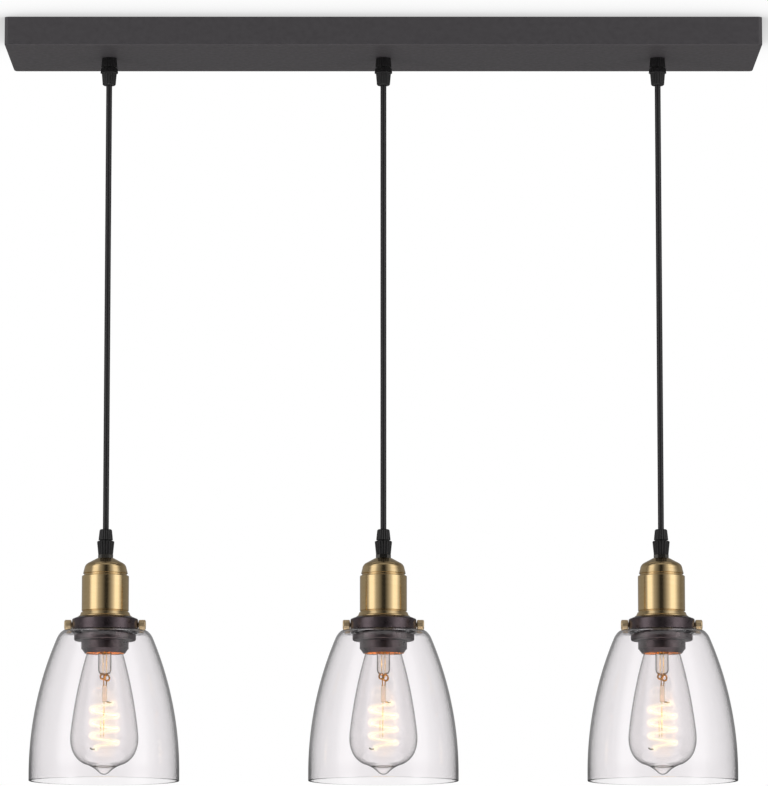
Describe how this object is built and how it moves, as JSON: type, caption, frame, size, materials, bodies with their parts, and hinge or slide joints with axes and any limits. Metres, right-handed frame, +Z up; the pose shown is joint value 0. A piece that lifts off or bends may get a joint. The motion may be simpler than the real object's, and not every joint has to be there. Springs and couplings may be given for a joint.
{
  "type": "linear island pendant light",
  "caption": "Long rectangular ceiling canopy with glass bell-shade lamps hung in a row on straight cords, each holding a screw-in bulb with a spiral filament.",
  "frame": {"origin": "middle of the mounting bar's top face, on the ceiling, midway between the outlet-box slots", "axes": "+Z up into the ceiling, +X along the canopy to the right, -Y towards the viewer of the picture"},
  "size_m": [0.71, 0.14, 0.7116],
  "materials": {
    "canopy_paint": "satin charcoal powder coat",
    "bar_zinc": "plain zinc-plated steel",
    "screw_steel": "blackened steel",
    "grip_plastic": "matt black moulded plastic",
    "cord_jacket": "matt black cord jacket",
    "lead_insulation": "white wire insulation",
    "block_plastic": "ivory moulded plastic",
    "lock_nut_nickel": "nickel plated",
    "brass_satin": "satin antique brass",
    "socket_black": "black phenolic",
    "contact_brass": "bare brass",
    "holder_bronze": "satin dark bronze paint",
    "ring_bronze": "satin dark bronze paint",
    "screw_brass": "turned brass",
    "shade_glass": "clear blown glass",
    "bulb_clear": "clear blown glass",
    "bulb_base_metal": "plain lamp base metal",
    "filament_glow": "clear stem with a glowing spiral"
  },
  "bodies": {
    "canopy": {"canopy_pan": "canopy_paint", "mounting_bar": "bar_zinc", "canopy_screws": "screw_steel", "canopy_grip_bodies": "grip_plastic", "canopy_clamp_nuts": "grip_plastic", "canopy_lock_nuts": "grip_plastic", "cord_tails": "cord_jacket", "lead_wires": "lead_insulation", "terminal_block": "block_plastic"},
    "cord_bend_left": {"cord_flex_left": "cord_jacket"},
    "lamp_left": {"cord_left": "cord_jacket", "head_clamp_nut_left": "grip_plastic", "head_grip_body_left": "grip_plastic", "head_lock_nut_left": "lock_nut_nickel", "socket_cover_left": "brass_satin", "socket_body_left": "socket_black", "socket_contacts_left": "contact_brass", "shade_holder_left": "holder_bronze", "retaining_ring_left": "ring_bronze", "glass_shade_left": "shade_glass"},
    "bulb_left": {"bulb_glass_left": "bulb_clear", "bulb_base_left": "bulb_base_metal", "bulb_filament_left": "filament_glow"},
    "thumb_left_left": {"thumb_screw_left_left": "screw_brass"},
    "thumb_left_right": {"thumb_screw_left_right": "screw_brass"},
    "thumb_left_rear": {"thumb_screw_left_rear": "screw_brass"},
    "cord_bend_centre": {"cord_flex_centre": "cord_jacket"},
    "lamp_centre": {"cord_centre": "cord_jacket", "head_clamp_nut_centre": "grip_plastic", "head_grip_body_centre": "grip_plastic", "head_lock_nut_centre": "lock_nut_nickel", "socket_cover_centre": "brass_satin", "socket_body_centre": "socket_black", "socket_contacts_centre": "contact_brass", "shade_holder_centre": "holder_bronze", "retaining_ring_centre": "ring_bronze", "glass_shade_centre": "shade_glass"},
    "bulb_centre": {"bulb_glass_centre": "bulb_clear", "bulb_base_centre": "bulb_base_metal", "bulb_filament_centre": "filament_glow"},
    "thumb_centre_left": {"thumb_screw_centre_left": "screw_brass"},
    "thumb_centre_right": {"thumb_screw_centre_right": "screw_brass"},
    "thumb_centre_rear": {"thumb_screw_centre_rear": "screw_brass"},
    "cord_bend_right": {"cord_flex_right": "cord_jacket"},
    "lamp_right": {"cord_right": "cord_jacket", "head_clamp_nut_right": "grip_plastic", "head_grip_body_right": "grip_plastic", "head_lock_nut_right": "lock_nut_nickel", "socket_cover_right": "brass_satin", "socket_body_right": "socket_black", "socket_contacts_right": "contact_brass", "shade_holder_right": "holder_bronze", "retaining_ring_right": "ring_bronze", "glass_shade_right": "shade_glass"},
    "bulb_right": {"bulb_glass_right": "bulb_clear", "bulb_base_right": "bulb_base_metal", "bulb_filament_right": "filament_glow"},
    "thumb_right_left": {"thumb_screw_right_left": "screw_brass"},
    "thumb_right_right": {"thumb_screw_right_right": "screw_brass"},
    "thumb_right_rear": {"thumb_screw_right_rear": "screw_brass"}
  },
  "joints": [
    {"name": "swing_left", "type": "hinge", "parent": "canopy", "child": "cord_bend_left", "pos_m": [-0.26, 0, -0.0532], "axis": [1, 0, 0], "range_deg": [-25, 25]},
    {"name": "sway_left", "type": "hinge", "parent": "cord_bend_left", "child": "lamp_left", "pos_m": [-0.26, 0, -0.0662], "axis": [0, 1, 0], "range_deg": [-5, 5]},
    {"name": "bulb_out_left", "type": "slide", "parent": "lamp_left", "child": "bulb_left", "axis": [0, 0, -1], "range_m": [0, 0.16]},
    {"name": "thumb_left_left_out", "type": "slide", "parent": "lamp_left", "child": "thumb_left_left", "axis": [-1, 0, 0], "range_m": [0, 0.003]},
    {"name": "thumb_left_right_out", "type": "slide", "parent": "lamp_left", "child": "thumb_left_right", "axis": [1, 0, 0], "range_m": [0, 0.003]},
    {"name": "thumb_left_rear_out", "type": "slide", "parent": "lamp_left", "child": "thumb_left_rear", "axis": [0, 1, 0], "range_m": [0, 0.003]},
    {"name": "swing_centre", "type": "hinge", "parent": "canopy", "child": "cord_bend_centre", "pos_m": [0, 0, -0.0532], "axis": [1, 0, 0], "range_deg": [-25, 25]},
    {"name": "sway_centre", "type": "hinge", "parent": "cord_bend_centre", "child": "lamp_centre", "pos_m": [0, 0, -0.0662], "axis": [0, 1, 0], "range_deg": [-5, 5]},
    {"name": "bulb_out_centre", "type": "slide", "parent": "lamp_centre", "child": "bulb_centre", "axis": [0, 0, -1], "range_m": [0, 0.16]},
    {"name": "thumb_centre_left_out", "type": "slide", "parent": "lamp_centre", "child": "thumb_centre_left", "axis": [-1, 0, 0], "range_m": [0, 0.003]},
    {"name": "thumb_centre_right_out", "type": "slide", "parent": "lamp_centre", "child": "thumb_centre_right", "axis": [1, 0, 0], "range_m": [0, 0.003]},
    {"name": "thumb_centre_rear_out", "type": "slide", "parent": "lamp_centre", "child": "thumb_centre_rear", "axis": [0, 1, 0], "range_m": [0, 0.003]},
    {"name": "swing_right", "type": "hinge", "parent": "canopy", "child": "cord_bend_right", "pos_m": [0.26, 0, -0.0532], "axis": [1, 0, 0], "range_deg": [-25, 25]},
    {"name": "sway_right", "type": "hinge", "parent": "cord_bend_right", "child": "lamp_right", "pos_m": [0.26, 0, -0.0662], "axis": [0, 1, 0], "range_deg": [-5, 5]},
    {"name": "bulb_out_right", "type": "slide", "parent": "lamp_right", "child": "bulb_right", "axis": [0, 0, -1], "range_m": [0, 0.16]},
    {"name": "thumb_right_left_out", "type": "slide", "parent": "lamp_right", "child": "thumb_right_left", "axis": [-1, 0, 0], "range_m": [0, 0.003]},
    {"name": "thumb_right_right_out", "type": "slide", "parent": "lamp_right", "child": "thumb_right_right", "axis": [1, 0, 0], "range_m": [0, 0.003]},
    {"name": "thumb_right_rear_out", "type": "slide", "parent": "lamp_right", "child": "thumb_right_rear", "axis": [0, 1, 0], "range_m": [0, 0.003]}
  ]
}
